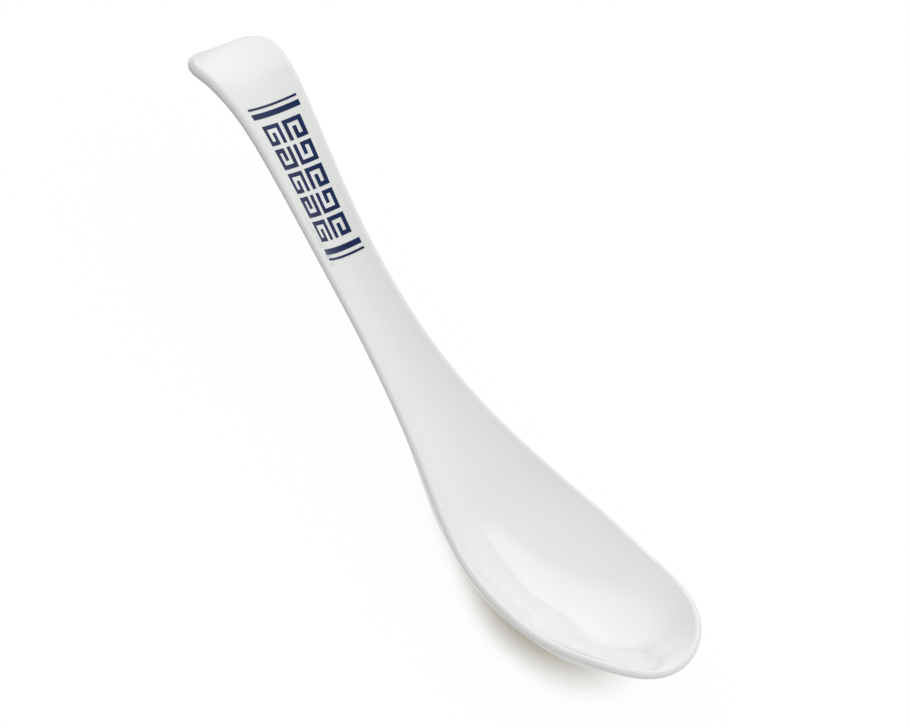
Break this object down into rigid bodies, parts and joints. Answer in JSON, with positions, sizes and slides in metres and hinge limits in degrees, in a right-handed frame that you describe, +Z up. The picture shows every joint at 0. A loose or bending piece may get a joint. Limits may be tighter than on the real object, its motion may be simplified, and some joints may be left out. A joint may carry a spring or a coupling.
{
  "type": "soup spoon",
  "caption": "Long porcelain soup spoon with an oval bowl, a slim trough handle flared into a backward hook, and a cobalt key-fret print.",
  "frame": {"origin": "on the surface the spoon rests on, under the middle of its length and width", "axes": "+X towards the tip of the bowl, +Y towards the left seen from the handle, +Z up, out of the hollow of the bowl"},
  "size_m": [0.174, 0.0428, 0.0429],
  "materials": {
    "glazed_porcelain": "glossy clear glaze over white porcelain, faintly blue-green where it pools",
    "cobalt_print": "dark cobalt pigment film under the glaze"
  },
  "bodies": {
    "root": {"spoon_body": "glazed_porcelain", "fret_print": "cobalt_print", "lower_band_print": "cobalt_print", "upper_band_print": "cobalt_print"}
  },
  "joints": []
}
